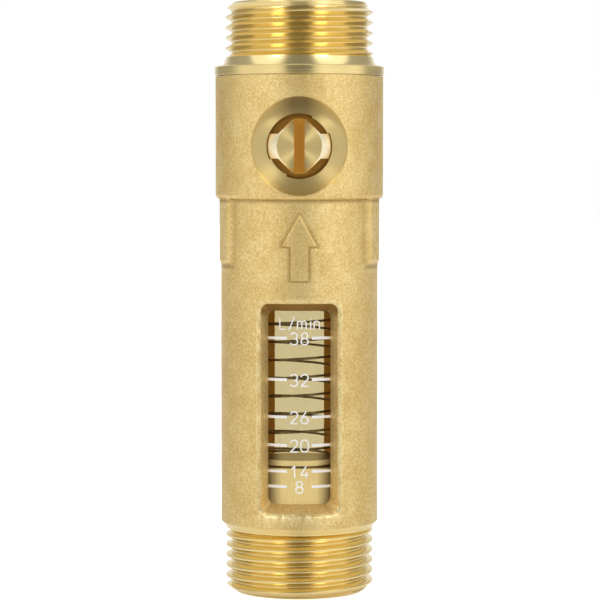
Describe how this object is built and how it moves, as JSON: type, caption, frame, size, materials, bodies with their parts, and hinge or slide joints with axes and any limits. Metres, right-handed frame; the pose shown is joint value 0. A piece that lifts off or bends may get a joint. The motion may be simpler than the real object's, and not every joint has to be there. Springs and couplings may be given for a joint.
{
  "type": "inline flow meter",
  "caption": "Inline brass flow meter with a sprung float behind a slotted sight window, a slotted balancing valve and threaded ends.",
  "frame": {"origin": "centre of the lower end face, on the flow axis", "axes": "+Z along the flow axis from the inlet to the outlet, the window and the valve stem face -Y, +X to the right seen from the front"},
  "size_m": [0.038, 0.038, 0.1325],
  "materials": {
    "cast_brass": "sand cast, blasted satin",
    "turned_brass": "turned, semi-bright",
    "bright_brass": "turned and milled, bright",
    "plated_brass": "plated and polished",
    "amber_tube": "clear amber moulding, smooth",
    "ptfe": "turned, dull",
    "seal_rubber": "moulded, dull black",
    "acetal": "moulded, satin natural",
    "stainless": "drawn and sheared, satin"
  },
  "bodies": {
    "housing": {"body_casting": "cast_brass", "top_connector": "turned_brass", "connector_seal": "seal_rubber", "seat_lower": "ptfe", "seat_upper": "ptfe", "seat_preload_ring": "seal_rubber", "stem_washer": "ptfe", "sight_tube": "amber_tube", "tube_seal_lower": "seal_rubber", "tube_seal_upper": "seal_rubber", "spring_seat": "acetal", "inlet_bush": "acetal", "inlet_retaining_ring": "stainless"},
    "valve": {"stem": "bright_brass", "ball": "plated_brass", "stem_seal": "seal_rubber", "stem_retaining_ring": "stainless"},
    "float": {"float": "acetal", "orifice_insert": "stainless", "float_spring": "stainless"}
  },
  "joints": [
    {"name": "valve_turn", "type": "hinge", "parent": "housing", "child": "valve", "pos_m": [0, 0, 0.1003], "axis": [0, 1, 0], "range_deg": [0, 90]},
    {"name": "float_slide", "type": "slide", "parent": "housing", "child": "float", "axis": [0, 0, 1], "range_m": [0, 0.036], "stiffness_N_per_m": 20, "springref_m": -0.004, "deforming": ["float_spring"]}
  ]
}
